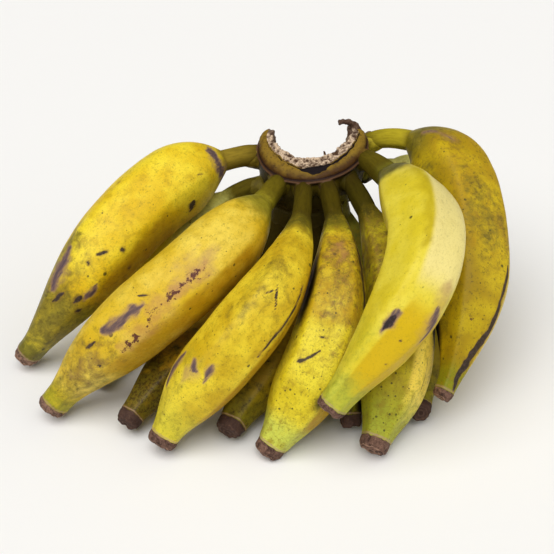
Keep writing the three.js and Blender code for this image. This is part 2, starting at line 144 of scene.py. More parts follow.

# How each finger looks. Light and deep are its ground colours, pale is that of a face turned to the light,
# olive its shoulder's, stem its neck's and green its tip's. Tip and shoulder are the shares of the length
# between which green and olive fade, with their strength, and neck is where stem fades. Mottle, brown and
# dots say how mottled, russet and dotted it is. Its gap shade says how strongly shade is painted on it in the
# gaps, flare how far its neck swells into the shoulder, cap the dried tip's length and cap_light how pale
# that is. A mark has its kind, its line of shares and angles, its half width in millimetres and its strength.
# A face has its kind, its shares, its angles and its strength.
# The stems of the necks that lie deeper in shade, and the grounds of the inner fingers, are set darker:
# partly their own brown, partly painted shade.
LOOKS = {
    "outer_1": dict(
        light=(0.86, 0.67, 0.03), deep=(0.74, 0.49, 0.006), olive=(0.42, 0.34, 0.01), stem=(0.27, 0.19, 0.02),
        tip=(0.8, 0.96, 0.9), shoulder=(0.17, 0.26, 0.5), neck=(0.13, 0.185), mottle=0.6, brown=0.1, dots=0.6,
        green=(0.16, 0.16, 0.01), cap=7, cap_light=1.0,
        marks=[
            ("bruise", [(0.655, 2), (0.706, -2), (0.76, -6)], 4.4, 1.0),
            ("black", [(0.749, -35), (0.78, -22)], 2.0, 0.8),
            ("black", [(0.728, -64), (0.754, -63)], 2.0, 0.85), ("black", [(0.761, -78)], 1.8, 0.85),
            ("bruise", [(0.69, -73), (0.728, -73)], 2.8, 1.0),
            ("black", [(0.322, -100), (0.34, -110)], 3.4, 1.0),
            ("black", [(0.604, -54), (0.625, -44)], 1.5, 0.9), ("black", [(0.578, -69)], 1.7, 0.85),
            ("black", [(0.654, -40)], 1.5, 0.85),
            ("bruise", [(0.19, -20), (0.183, -73), (0.165, -128)], 4.4, 1.0),
            ("black", [(0.599, -104)], 1.8, 0.7), ("black", [(0.279, -63), (0.258, -66)], 0.8, 0.7),
            ("black", [(0.446, 9)], 1.2, 0.6), ("brown", [(0.62, -50), (0.7, -25)], 18, 0.6),
            ("shade", [(0.6, 16), (0.7, 8), (0.8, 0)], 13, 0.95), ("dark", [(0.7, 4), (0.8, -10)], 7, 0.6),
        ],
        faces=[("orange", (0.4, 0.75), (-150, -78), 0.8), ("shade", (0.72, 0.92), (-175, 100), 0.95),
               ("shade", (0.9, 1.0), (-175, 100), 0.7), ("brown", (0.58, 0.9), (-150, 100), 0.62)]),
    "outer_2": dict(
        light=(0.8, 0.6, 0.07), deep=(0.68, 0.45, 0.012), olive=(0.31, 0.27, 0.01), stem=(0.15, 0.115, 0.006),
        tip=(0.82, 0.97, 0.75), shoulder=(0.22, 0.36, 0.85), neck=(0.1, 0.22), mottle=0.5, brown=0.1,
        dots=0.5, flare=1.0, cap=6, cap_light=0.5,
        marks=[
            ("bruise", [(0.61, -34), (0.663, -34), (0.715, -28)], 3.9, 1.0),
            ("rust", [(0.47, -53), (0.518, -53)], 3.4, 1.0), ("rust", [(0.53, -54), (0.562, -54)], 3.0, 0.95),
            ("rust", [(0.575, -56), (0.6, -54), (0.622, -63), (0.638, -74)], 2.4, 0.8),
            ("rust", [(0.655, -66), (0.7, -70)], 3.4, 0.9), ("halo", [(0.44, -46), (0.53, -52)], 8, 0.7),
            ("pink", [(0.47, -53), (0.56, -54), (0.64, -66), (0.7, -68)], 7, 0.9),
            ("black", [(0.601, -20), (0.582, -32)], 0.8, 0.8),
            ("black", [(0.747, -30), (0.773, -26)], 1.8, 0.85), ("black", [(0.78, -48)], 1.0, 0.7),
            ("black", [(0.778, -65)], 1.3, 0.85), ("dark", [(0.86, -50), (0.95, -50)], 9, 0.45),
            ("shade", [(0.78, -40), (0.92, -60)], 26, 0.72), ("pink", [(0.76, -45), (0.86, -55)], 14, 0.5),
            ("brown", [(0.72, -50), (0.9, -60)], 24, 0.75),
        ],
        faces=[("orange", (0.34, 0.8), (-150, -72), 0.8), ("brown", (0.74, 0.96), (-130, 40), 0.5),
               ("orange", (0.72, 0.93), (-100, 0), 0.55)]),
    "outer_3": dict(
        light=(0.8, 0.62, 0.03), deep=(0.58, 0.38, 0.006), olive=(0.12, 0.1, 0.003),
        stem=(0.085, 0.062, 0.003), tip=(0.72, 0.95, 0.75), shoulder=(0.23, 0.37, 1.0), neck=(0.16, 0.29),
        mottle=0.75, brown=0.17, dots=0.7, green=(0.68, 0.63, 0.045), cap=7,
        marks=[
            ("black", [(0.5, -22), (0.522, -32), (0.544, -42)], 0.7, 0.95),
            ("black", [(0.53, -12), (0.512, -22)], 0.6, 0.8),
            ("bruise", [(0.742, 13), (0.752, -2)], 2.9, 1.0), ("halo", [(0.75, 2), (0.79, 1)], 4.5, 0.8),
            ("bruise", [(0.716, -20), (0.761, -25)], 2.5, 0.9),
            ("bruise", [(0.76, 48), (0.85, 52)], 3.2, 1.0),
            ("black", [(0.463, -66), (0.513, -71), (0.56, -70), (0.6, -66), (0.64, -66)], 1.0, 0.8),
            ("brown", [(0.36, 10), (0.5, 20)], 16, 0.6), ("shade", [(0.44, 0), (0.58, 0)], 18, 0.58),
            ("dark", [(0.4, -80), (0.62, -80)], 5, 0.6),
        ],
        faces=[("orange", (0.38, 0.92), (-150, -72), 0.95), ("orange", (0.3, 0.62), (-72, 60), 0.35),
               ("green", (0.7, 0.92), (-10, 80), 0.5)]),
    "outer_4": dict(
        light=(0.78, 0.65, 0.03), deep=(0.6, 0.46, 0.006), olive=(0.12, 0.1, 0.003),
        stem=(0.068, 0.049, 0.002), tip=(0.8, 0.93, 1.0), shoulder=(0.23, 0.35, 1.0), neck=(0.16, 0.28),
        mottle=1.0, brown=0.22, dots=1.0, green=(0.58, 0.62, 0.08), cap=8,
        marks=[
            ("brown", [(0.33, -10), (0.43, -40), (0.56, -45)], 20, 1.0), ("brown", [(0.66, -66)], 12, 0.85),
            ("bruise", [(0.36, 38), (0.506, 40), (0.6, 50)], 2.2, 0.75),
            ("black", [(0.63, -26), (0.628, -42)], 0.8, 0.7),
            ("black", [(0.663, -37), (0.685, -24), (0.711, -10)], 0.9, 0.9),
            ("black", [(0.698, -16), (0.712, -9)], 1.7, 0.95),
            ("specks", [(0.8, -20), (0.73, -50)], 11, 0.85), ("pink", [(0.36, -30), (0.4, -45)], 8, 0.75),
            # Along its right limb, beside outer_5: a dark band and a black line, painted contact shadow.
            ("dark", [(0.27, -94), (0.36, -100), (0.44, -110), (0.52, -124)], 9, 1.2),
            ("black", [(0.28, -92), (0.36, -97), (0.44, -107), (0.52, -121)], 2.8, 1.1),
        ],
        faces=[("orange", (0.72, 1.0), (-155, -78), 0.9), ("orange", (0.28, 0.6), (-100, 60), 0.75)]),
    "outer_5": dict(
        light=(0.62, 0.52, 0.012), deep=(0.4, 0.3, 0.004), olive=(0.12, 0.09, 0.003),
        stem=(0.055, 0.042, 0.002), tip=(0.68, 0.94, 0.95), shoulder=(0.19, 0.34, 0.95), neck=(0.13, 0.26),
        mottle=1.0, brown=0.28, dots=1.2, green=(0.36, 0.39, 0.025), pale=(0.95, 0.72, 0.09), flare=1.0,
        gap_shade=0.3, cap=8,
        marks=[
            ("brown", [(0.27, 0), (0.45, 2)], 26, 1.0), ("shade", [(0.3, 0), (0.44, 0)], 24, 0.4),
            ("black", [(0.7, -94), (0.75, -96), (0.79, -98)], 0.9, 0.7),
            ("shade", [(0.66, 0), (0.82, 10)], 14, 0.3),
            ("specks", [(0.74, -12), (0.84, -8), (0.96, -4)], 11, 0.9),
        ],
        faces=[("light", (0.55, 1.0), (-165, -60), 1.0), ("orange", (0.2, 0.55), (-112, 88), 0.35)]),
    "outer_6": dict(
        light=(0.77, 0.65, 0.06), deep=(0.7, 0.56, 0.02), olive=(0.14, 0.125, 0.006),
        stem=(0.12, 0.09, 0.005), tip=(0.8, 0.96, 0.85), shoulder=(0.245, 0.33, 1.0), neck=(0.13, 0.23),
        mottle=0.2, brown=0.0, dots=0.2, green=(0.42, 0.46, 0.04), pale=(0.82, 0.7, 0.25), flare=2.6, cap=5,
        marks=[
            ("bruise", [(0.72, -19), (0.747, -17), (0.772, -14)], 2.9, 1.0),
            ("black", [(0.73, -18), (0.765, -15)], 2.0, 0.95),
            ("bruise", [(0.672, -66), (0.7, -76), (0.74, -86)], 2.6, 1.0),
            ("halo", [(0.63, -60), (0.7, -76), (0.74, -86)], 5, 0.7), ("black", [(0.763, -50)], 0.8, 0.95),
            ("black", [(0.821, -63)], 0.6, 0.9),
            ("deep", [(0.27, 8), (0.32, 4), (0.42, -2), (0.513, -3), (0.58, -6)], 4.2, 0.95),
            ("brown", [(0.255, 30), (0.265, 10), (0.275, -10)], 3, 0.6),
        ],
        faces=[("warm", (0.68, 0.98), (-125, -19), 0.95), ("light", (0.25, 0.65), (-80, -10), 0.95),
               ("green", (0.74, 0.98), (-14, 90), 0.5)]),
    "outer_7": dict(
        light=(0.58, 0.42, 0.006), deep=(0.4, 0.26, 0.003), olive=(0.28, 0.22, 0.006),
        stem=(0.46, 0.37, 0.02), tip=(0.84, 0.96, 0.9), shoulder=(0.16, 0.36, 0.9), neck=(0.12, 0.17),
        mottle=1.2, brown=0.36, dots=0.6, green=(0.22, 0.25, 0.008), flare=1.2, cap=6,
        marks=[
            ("brown", [(0.205, -6), (0.239, -21), (0.3, -25)], 9, 1.0),
            ("halo", [(0.235, -18), (0.285, -25)], 5, 0.5), ("bruise", [(0.205, -6), (0.235, -18)], 3.0, 0.7),
            ("bruise", [(0.262, -24), (0.285, -26)], 2.6, 0.7),
            ("black", [(0.64, -70), (0.69, -68), (0.75, -67)], 0.9, 1.1),
            ("black", [(0.74, -67), (0.8, -68), (0.842, -62), (0.897, -51), (0.93, -47), (0.97, -58)],
             1.6, 1.3),
            ("rust", [(0.795, -22)], 2.4, 0.8), ("brown", [(0.3, -12), (0.6, -42)], 26, 0.7),
            ("shade", [(0.42, -20), (0.6, -40)], 20, 0.68), ("brown", [(0.5, -60), (0.62, -70)], 6, 0.9),
            ("dark", [(0.18, 30), (0.26, 40)], 10, 0.5),
        ],
        faces=[("light", (0.66, 0.98), (-150, -72), 0.95), ("orange", (0.22, 0.66), (-90, 20), 0.5),
               ("shade", (0.14, 0.24), (-60, 130), 0.72), ("shade", (0.28, 0.86), (26, 120), 0.6)]),
    "inner_1": dict(
        light=(0.7, 0.62, 0.06), deep=(0.56, 0.46, 0.02), olive=(0.68, 0.65, 0.15), stem=(0.13, 0.1, 0.008),
        tip=(0.7, 0.92, 0.8), shoulder=(0.3, 0.55, 1.0), neck=(0.11, 0.19), mottle=0.3, brown=0.05, dots=0.5,
        gap_shade=0.1, marks=[]),
    "inner_2": dict(
        light=(0.4, 0.22, 0.008), deep=(0.24, 0.12, 0.004), olive=(0.14, 0.09, 0.004),
        stem=(0.045, 0.032, 0.003), tip=(0.72, 0.95, 0.7), shoulder=(0.25, 0.5, 0.8), neck=(0.18, 0.32),
        mottle=1.0, brown=0.4, dots=0.6, green=(0.1, 0.085, 0.008), gap_shade=0.3, cap_light=-1.35,
        marks=[("dark", [(0.86, 0), (1.0, 0)], 60, 1.2)]),
    "inner_3": dict(
        light=(0.46, 0.31, 0.01), deep=(0.29, 0.17, 0.004), olive=(0.1, 0.07, 0.004),
        stem=(0.045, 0.032, 0.003), tip=(0.7, 0.95, 0.8), shoulder=(0.25, 0.5, 0.8), neck=(0.18, 0.34),
        mottle=1.0, brown=0.3, dots=0.6, green=(0.16, 0.16, 0.012), gap_shade=0.3, cap_light=-1.35,
        marks=[("dark", [(0.9, 0), (1.0, 0)], 60, 0.8)]),
    "inner_4": dict(
        light=(0.34, 0.24, 0.006), deep=(0.18, 0.11, 0.003), olive=(0.3, 0.3, 0.03), stem=(0.16, 0.14, 0.012),
        tip=(0.7, 0.95, 0.8), shoulder=(0.25, 0.5, 0.9), neck=(0.05, 0.14), mottle=1.0, brown=0.2, dots=0.6,
        gap_shade=0.5, cap_light=-1.35,
        marks=[("dark", [(0.75, 0), (1.0, 0)], 60, 1.2)]),
    "inner_5": dict(
        light=(0.52, 0.42, 0.02), deep=(0.34, 0.25, 0.006), olive=(0.74, 0.7, 0.18), stem=(0.5, 0.46, 0.08),
        tip=(0.7, 0.95, 0.6), shoulder=(0.25, 0.5, 1.0), neck=(0.05, 0.1), mottle=0.3, brown=0.05, dots=0.5,
        gap_shade=0.0, cap_light=-1.35,
        marks=[("black", [(0.134, 50)], 1.0, 0.95), ("dark", [(0.9, 0), (1.0, 0)], 50, 0.8)]),
}

# What can be painted on a skin by values at its points.
FIELDS = [
    "green", "olive", "brown", "dark", "shade", "specks", "halo", "pink", "bruise", "black", "rust", "warm",
    "orange", "deep", "light",
]

# Where a look says nothing: the dried tip's length, and how strongly shade is painted on the skin in the
# gaps.
CAP_LENGTH = 7
GAP_SHADE = 0.85

# How softly a coloured face ends: in shares of the length and in degrees.
FACE_FADE = 0.1
FACE_TURN = 16

# A mark's edge waves by this share of its half width, and it narrows by this share at its ends.
MARK_WAVE = 0.55
MARK_WAVE_LENGTH = 4.0
MARK_NARROWING = 0.5

# Shade is painted on the skin down in the gaps between the fingers, out to this many millimetres from the
# next finger.
GAP_REACH = 6
GAP_SAMPLES = 60

# The unevenness of the skin and of the dried tip, as heights and wavelengths in millimetres. It fades out
# below this share of the length, and the tip's also inside this radius.
SKIN_WAVES = [(0.45, 22), (0.14, 6)]
TIP_WAVES = [(0.45, 2.6), (0.25, 1.2)]
TIP_LENGTH_WAVES = [(0.7, 2.2)]
ROOT_EVENNESS = 0.1
TIP_EVENNESS = 4

# The dots on the skin, in two sizes: how far apart they are, in millimetres, and how many of them show. They
# set in between these shares of the length.
DOTS = [(6.5, 1.0), (3.2, 0.55)]
DOTS_RANGE = (0.2, 0.4)

# The neck is darker over this many millimetres from the crown.
ROOT_DARKENING = 26

# How strongly the skin mirrors the light, on the body and on the neck.
SKIN_SHINE = (0.25, 0.06)

# Rings along a finger and points round each.
OUTER_GRID = (200, 130)
INNER_GRID = (120, 80)


def smooth(x):
    x = np.clip(x, 0, 1)
    return x * x * (3 - 2 * x)


def ramp(x, start, end):
    """0 before start, 1 after end, and a smooth rise between them."""
    return smooth((x - start) / (end - start))


def peak(x, middle, half_width):
    """1 at the middle, and a straight fall to 0 at the half width on both sides."""
    return np.clip(1 - np.abs(x - middle) / half_width, 0, 1)


def noise(points, wavelength, seed):
    """Smooth random values between -1 and 1 at points, the same ones in every run."""
    q = points / wavelength
    base = np.floor(q).astype(np.int64)
    part = smooth(q - base)
    total = np.zeros(points.shape[:-1])
    for corner in itertools.product((0, 1), repeat=3):
        cell = base + corner
        h = (cell[..., 0] * 374761393 + cell[..., 1] * 668265263 + cell[..., 2] * 2246822519
             + seed * 3266489917) & 0xFFFFFFFF
        h = ((h ^ (h >> 13)) * 1274126177) & 0xFFFFFFFF
        h = h ^ (h >> 16)
        weight = np.prod(np.where(corner, part, 1 - part), axis=-1)
        total += weight * (h / 0x7FFFFFFF - 1)
    return total


def waves(points, pairs, seed):
    """Unevenness from pairs of height and wavelength, each with a seed of its own."""
    return sum(height * noise(points, length, seed + k) for k, (height, length) in enumerate(pairs))


def unit(vectors):
    return vectors / np.linalg.norm(vectors, axis=-1, keepdims=True)


def curve_through(points, count):
    """Points of a cubic curve that passes the second and third point at a third and two thirds of its way."""
    start, third, two_thirds, end = (np.array(p, float) for p in points)
    b = (-5 * start + 18 * third - 9 * two_thirds + 2 * end) / 6
    c = (2 * start - 9 * third + 18 * two_thirds - 5 * end) / 6
    t = np.linspace(0, 1, count)[:, None]
    return (1 - t) ** 3 * start + 3 * (1 - t) ** 2 * t * b + 3 * (1 - t) * t * t * c + t ** 3 * end


def crown_point(angle, radius, height):
    right = radius * np.sin(np.radians(angle))
    back = -radius * np.cos(np.radians(angle))
    rise = CROWN_RISE[0] * right + CROWN_RISE[1] * back
    return CROWN_CENTRE + np.stack([right, back, height + rise], -1)


class Axis:
    """A finger's middle line, with frames that are carried along it without twist."""

    POINTS = 1601

    def __init__(self, name):
        shape = SHAPES[name]
        row_drop = 0 if name.startswith("outer") else INNER_ROW_DROP
        start = crown_point(shape["angle"], ROOT_RADIUS, -shape.get("drop", row_drop))
        self.line = curve_through([start, *shape["points"]], self.POINTS)
        steps = np.linalg.norm(np.diff(self.line, axis=0), axis=1)
        way = np.concatenate([[0], np.cumsum(steps)])
        self.length = way[-1]
        self.shares = way / self.length
        self.tangent = unit(np.gradient(self.line, axis=0))
        normal = np.array([0, 0, 1.0])
        normals = []
        for direction in self.tangent:
            normal = unit(normal - direction * (normal @ direction))
            normals.append(normal)
        self.normal = np.array(normals)

    def at(self, shares):
        """Points, tangents, normals and sides at these shares; past the end the line is straight."""
        inside = np.clip(shares, 0, 1)

        def pick(values):
            return np.stack([np.interp(inside, self.shares, values[:, k]) for k in range(3)], -1)

        tangent = unit(pick(self.tangent))
        point = pick(self.line) + tangent * ((shares - inside) * self.length)[:, None]
        normal = pick(self.normal)
        normal = unit(normal - tangent * np.sum(normal * tangent, axis=1)[:, None])
        return point, tangent, normal, np.cross(tangent, normal)


AXES = {name: Axis(name) for name in SHAPES}


def radius_at(share, shape):
    start, end, slowness = shape["shoulder"]
    rise = np.sin(0.5 * np.pi * np.clip((share - start) / (end - start), 0, 1)) ** slowness
    taper = np.clip((share - shape["taper"]) / (TAPER_END - shape["taper"]), 0, 1)
    fall = smooth(taper ** TAPER_EASE)
    return shape["radius"] * (shape["neck"] + (1 - shape["neck"]) * rise) * (1 - (1 - shape["tip"]) * fall)


def root_factor(way):
    """A neck is a little slimmer inside the crown and where it leaves it, under the crown's lip."""
    return 1 - ROOT_SLIMMING * (1 - smooth(way / ROOT_REACH))


def grid_faces(rings, sides):
    """Quads of a closed tube, ring after ring, with fans to two poles that follow the rings' vertices."""
    i, j = np.meshgrid(np.arange(rings - 1), np.arange(sides), indexing="ij")
    k = (j + 1) % sides
    quads = np.stack([i * sides + j, i * sides + k, (i + 1) * sides + k, (i + 1) * sides + j], -1)
    faces = quads.reshape(-1, 4).tolist()
    last = (rings - 1) * sides
    first_pole = rings * sides
    last_pole = first_pole + 1
    for j in range(sides):
        k = (j + 1) % sides
        faces.append([first_pole, k, j])
        faces.append([last_pole, last + j, last + k])
    return faces


def make_object(name, vertices, faces, attributes):
    """A smooth mesh object from vertices in millimetres, with named values at its vertices."""
    mesh = bpy.data.meshes.new(name)
    mesh.from_pydata((vertices * MM).tolist(), [], faces)
    mesh.polygons.foreach_set("use_smooth", np.ones(len(mesh.polygons), bool))
    for key, values in attributes.items():
        if values.ndim == 2:
            layer = mesh.attributes.new(key, "FLOAT_VECTOR", "POINT")
            layer.data.foreach_set("vector", values.astype(np.float32).ravel())
        else:
            layer = mesh.attributes.new(key, "FLOAT", "POINT")
            layer.data.foreach_set("value", values.astype(np.float32))
    mesh.update()
    obj = bpy.data.objects.new(name, mesh)
    bpy.context.scene.collection.objects.link(obj)
    return obj


class Skin:
    """A finger's skin as a grid of rings, from inside the crown to the middle of the dried tip.

    Straight is where the grid's points lie when the finger is straightened out.
    """

    def __init__(self, name, seed):
        self.name = name
        self.seed = seed
        self.shape = SHAPES[name]
        self.look = LOOKS[name]
        self.axis = AXES[name]
        body_rings, self.sides = OUTER_GRID if name.startswith("outer") else INNER_GRID
        tip_share = self.look.get("cap", CAP_LENGTH) / self.axis.length
        tip_shares = np.array([1 - tip_share * before for before, _ in TIP_RINGS])
        body_shares = np.linspace(0, tip_shares[0], body_rings, endpoint=False)
        self.shares = np.concatenate([body_shares, tip_shares])
        self.tip_factor = np.concatenate([np.ones(body_rings), [factor for _, factor in TIP_RINGS]])
        self.past_rim = (self.shares - tip_shares[0]) * self.axis.length
        self.cap = smooth(self.past_rim)
        turn = np.linspace(-np.pi, np.pi, self.sides, endpoint=False)
        self.share, self.angle = np.meshgrid(self.shares, turn, indexing="ij")
        self.radius = self.ridged_radius()
        self.straight = np.stack([self.share * self.axis.length, self.radius * np.cos(self.angle),
                                  self.radius * np.sin(self.angle)], -1)

    def ridged_radius(self):
        start, end, _ = self.shape["shoulder"]
        flare = smooth(self.shares / start) * (1 - ramp(self.shares, start, end))
        base = radius_at(self.shares, self.shape) * self.tip_factor
        base = base * root_factor(self.shares * self.axis.length) + self.look.get("flare", 0) * flare
        depth = NECK_RIDGE + (1 - NECK_RIDGE) * ramp(self.shares, *NECK_RIDGE_RANGE)
        depth = self.shape.get("ridge", RIDGE_DEPTH) * depth * (1 - TIP_RIDGE_LOSS * self.cap)
        faces = np.abs(np.sin(0.5 * RIDGES * self.angle)) ** RIDGE_SHARPNESS
        return base[:, None] * (1 - depth[:, None] * faces)

    def vertices(self):
        point, tangent, normal, side = self.axis.at(self.shares)
        cap = self.cap[:, None]
        relief = (1 - cap) * waves(self.straight, SKIN_WAVES, self.seed)
        tip_relief = waves(self.straight, TIP_WAVES, self.seed + 2)
        relief = relief + cap * np.minimum(1, self.radius / TIP_EVENNESS) * tip_relief
        radius = self.radius + relief * smooth(self.shares / ROOT_EVENNESS)[:, None]
        push = cap * waves(self.straight, TIP_LENGTH_WAVES, self.seed + 4)
        turn = self.angle + np.radians(self.shape["roll"] + self.shape.get("twist", 0) * self.share)
        outwards = np.cos(turn)[..., None] * normal[:, None] + np.sin(turn)[..., None] * side[:, None]
        grid = point[:, None] + radius[..., None] * outwards + push[..., None] * tangent[:, None]
        vertices = np.concatenate([grid.reshape(-1, 3), point[:1], point[-1:]]) + SHIFT
        vertices[:, 2] = np.maximum(vertices[:, 2], 0)
        return vertices

    def mark(self, line, half_width, ragged):
        """1 on a mark's line, a half at its half width and 0 at twice that, measured on the straight skin.

        A mark narrows towards its ends, and ragged moves its edge to and fro.
        """
        strength = np.zeros(self.share.shape)
        ends = list(zip(line, line[1:])) or [(line[0], line[0])]
        for k, ((s0, a0), (s1, a1)) in enumerate(ends):
            girth = radius_at(np.array(0.5 * (s0 + s1)), self.shape)
            x = (self.share - s0) * self.axis.length + MARK_WAVE * half_width * ragged[0]
            y = (np.mod(self.angle - math.radians(a0) + math.pi, 2 * math.pi) - math.pi) * girth
            y = y + MARK_WAVE * half_width * ragged[1]
            dx = (s1 - s0) * self.axis.length
            dy = math.radians(a1 - a0) * girth
            along = np.clip((x * dx + y * dy) / max(dx * dx + dy * dy, 1e-9), 0, 1)
            whole = (k + along) / len(ends)
            width = half_width * (1 - MARK_NARROWING * (2 * whole - 1) ** 2 * (len(line) > 1))
            nearest = np.hypot(x - along * dx, y - along * dy)
            strength = np.maximum(strength, np.clip(1 - 0.5 * nearest / width, 0, 1))
        return strength

    def face(self, shares, angles):
        """1 on a stretch of one of the skin's faces, which fades over its edges."""
        across = np.degrees(self.angle)
        strength = 1
        for place, (start, end), fade in ((self.share, shares, FACE_FADE), (across, angles, FACE_TURN)):
            strength = strength * smooth((place - start) / fade + 0.5) * smooth((end - place) / fade + 0.5)
        return strength

    def fields(self):
        """How strong each look is at each point of the grid."""
        look = self.look
        fields = {key: np.zeros_like(self.share) for key in FIELDS}
        start, end, strength = look["tip"]
        fields["green"] = strength * ramp(self.share, start, end)
        start, end, strength = look["shoulder"]
        fields["olive"] = strength * (1 - ramp(self.share, start, end))
        fields["brown"] += look["brown"]
        ragged = [noise(self.straight, MARK_WAVE_LENGTH, self.seed + k) for k in (5, 6)]
        for kind, line, half_width, strength in look["marks"]:
            fields[kind] = np.maximum(fields[kind], strength * self.mark(line, half_width, ragged))
        for kind, shares, angles, strength in look.get("faces", []):
            fields[kind] = np.maximum(fields[kind], strength * self.face(shares, angles))
        fields["neck"] = 1 - ramp(self.share, *look["neck"])
        fields["root"] = 1 - smooth(self.share * self.axis.length / ROOT_DARKENING)
        fields["dots"] = look["dots"] * ramp(self.share, *DOTS_RANGE) * (1 - self.cap)[:, None]
        every_other = np.arange(len(self.shares)) // 2 % 2
        ring_fields = dict(
            cap=self.cap, rim=peak(self.past_rim, *CAP_RIM), core=ramp(self.tip_factor, *CAP_CORE),
            ring=every_other * ramp(self.tip_factor, *CAP_RINGS))
        for key, values in ring_fields.items():
            fields[key] = np.repeat(values[:, None], self.sides, 1)
        return fields

    def gap_depth(self, vertices):
        """1 where the skin touches another finger, and 0 further off."""
        gap = np.full(len(vertices), np.inf)
        shares = np.linspace(0, 1, GAP_SAMPLES)
        for other, shape in SHAPES.items():
            if other != self.name:
                points = AXES[other].at(shares)[0] + SHIFT
                for point, radius in zip(points, radius_at(shares, shape)):
                    gap = np.minimum(gap, np.linalg.norm(vertices - point, axis=1) - radius)
        return 1 - smooth(gap / GAP_REACH)

    def make(self):
        vertices = self.vertices()
        values = {}
        for key, grid in self.fields().items():
            values[key] = np.concatenate([grid.ravel(), [grid[0].mean(), grid[-1].mean()]])
        values["gap"] = self.gap_depth(vertices)
        poles = np.array([[0, 0, 0], [self.shares[-1] * self.axis.length, 0, 0]])
        values["straight"] = np.concatenate([self.straight.reshape(-1, 3), poles])
        return make_object("skin_" + self.name, vertices, grid_faces(len(self.shares), self.sides), values)


class Graph:
    """Shorthand for building a material's nodes."""

    def __init__(self, name):
        self.material = bpy.data.materials.new(name)
        self.material.use_nodes = True
        self.tree = self.material.node_tree
        self.shader = self.tree.nodes["Principled BSDF"]

    def put(self, socket, value):
        if isinstance(value, bpy.types.NodeSocket):
            self.tree.links.new(value, socket)
        elif isinstance(value, tuple) and len(value) == 3 and socket.type == "RGBA":
            socket.default_value = (*value, 1)
        else:
            socket.default_value = value

    def node(self, kind, inputs=None, **settings):
        made = self.tree.nodes.new(kind)
        for key, value in settings.items():
            setattr(made, key, value)
        for key, value in (inputs or {}).items():
            self.put(made.inputs[key], value)
        return made

    def field(self, name, output="Fac"):
        return self.node("ShaderNodeAttribute", attribute_name=name).outputs[output]

    def place(self, name, scale=(1, 1, 1), offset=(0, 0, 0)):
        inputs = {"Vector": self.field(name, "Vector"), "Scale": scale, "Location": offset}
        return self.node("ShaderNodeMapping", inputs).outputs[0]

    def noise(self, where, size, detail=3.0, roughness=0.55, distortion=0.0):
        made = self.node("ShaderNodeTexNoise", {"Vector": where, "Scale": 1 / size, "Detail": detail,
                                                "Roughness": roughness, "Distortion": distortion})
        return made.outputs["Fac"]

    def math(self, operation, a, b=0.0, clamp=False):
        return self.node("ShaderNodeMath", {0: a, 1: b}, operation=operation, use_clamp=clamp).outputs[0]

    def plus(self, a, b):
        return self.math("ADD", a, b)

    def times(self, a, b):
        return self.math("MULTIPLY", a, b)

    def step(self, value, low, high, out_low=0.0, out_high=1.0):
        made = self.node("ShaderNodeMapRange", {"Value": value, "From Min": low, "From Max": high,
                                                "To Min": out_low, "To Max": out_high},
                         interpolation_type="SMOOTHSTEP")
        return made.outputs[0]

    def mix(self, factor, a, b):
        made = self.node("ShaderNodeMix", {"Factor": factor}, data_type="RGBA")
        self.put(made.inputs[6], a)
        self.put(made.inputs[7], b)
        return made.outputs[2]

    def over(self, colour, mask, top, amount=1.0):
        """The colour with another laid over it, as strongly as the mask and the amount say."""
        return self.mix(mask if amount == 1.0 else self.times(mask, amount), colour, top)

    def grow(self, field, rough, spread, low, high):
        """The ragged mask of a field, or its name: cut where it and noise together pass low to high."""
        value = self.field(field) if isinstance(field, str) else field
        push = self.times(self.math("SUBTRACT", rough, 0.5), spread)
        return self.step(self.plus(value, push), low, high)

    def cover(self, mask, top, amount=1.0):
        """Lay a colour over what is painted so far."""
        self.colour = self.over(self.colour, mask, top, amount)

    def paint(self, field, rough, spread, low, high, top, amount=1.0):
        """Lay a colour over the ragged mask of a field."""
        self.cover(self.grow(field, rough, spread, low, high), top, amount)

    def bump(self, height, distance, strength):
        made = self.node("ShaderNodeBump", {"Height": height, "Distance": distance, "Strength": strength})
        self.put(self.shader.inputs["Normal"], made.outputs[0])


def darker(colour, factor):
    return tuple(factor * value for value in colour)


# The noises that the skin's looks share: size in millimetres, detail, roughness and distortion.
SKIN_NOISES = dict(
    broad=(24, 3), middle=(9, 5, 0.65), cloudy=(6, 6, 0.75, 0.4), patchy=(3.6, 6, 0.75, 0.6),
    blotch=(2.4, 5, 0.7), small=(1.7, 4, 0.7), fine=(0.9, 3, 0.65))


def skin_noises(g, seed):
    """The shared noises, and one that is drawn out along the finger."""
    where = g.place("straight", offset=(37.0 * seed, 11.0 * seed, 5.0 * seed))
    lengthwise = g.place("straight", scale=(0.2, 1, 1), offset=(seed, 3.0 * seed, 7.0))
    noises = {key: g.noise(where, *values) for key, values in SKIN_NOISES.items()}
    return SimpleNamespace(where=where, streak=g.noise(lengthwise, 1.5, 4, 0.65), **noises)


def paint_ground(g, n, look):
    """The two ground colours, the faces in other tones, the tip's green and the shoulder's olive."""
    g.colour = g.mix(g.step(n.broad, 0.36, 0.66), look["light"], look["deep"])
    g.cover(g.step(n.middle, 0.48, 0.72), look["deep"], 0.45)
    # Orange faces: the skin's orange tone, and painted warm shade on the lower flanks turned from the light.
    g.paint("orange", n.middle, 0.9, 0.3, 1.1, ORANGE)
    g.paint("deep", n.middle, 0.4, 0.1, 1.15, STRIPE)
    g.paint("light", n.middle, 0.3, 0.2, 1.0, look.get("pale", PALE))
    # The warm face: painted shade on outer_6's lower face, turned from the light.
    g.paint("warm", n.middle, 0.3, 0.2, 0.9, WARM_SHADE)
    green = look.get("green", GREEN)
    green_tone = g.mix(g.step(n.cloudy, 0.4, 0.75), green, darker(green, 0.65))
    g.paint("green", n.cloudy, 0.9, 0.25, 1.0, green_tone)
    olive_tone = g.mix(g.step(n.middle, 0.35, 0.7), look["olive"], darker(look["olive"], 0.6))
    g.paint("olive", n.cloudy, 0.8, 0.2, 0.95, olive_tone)


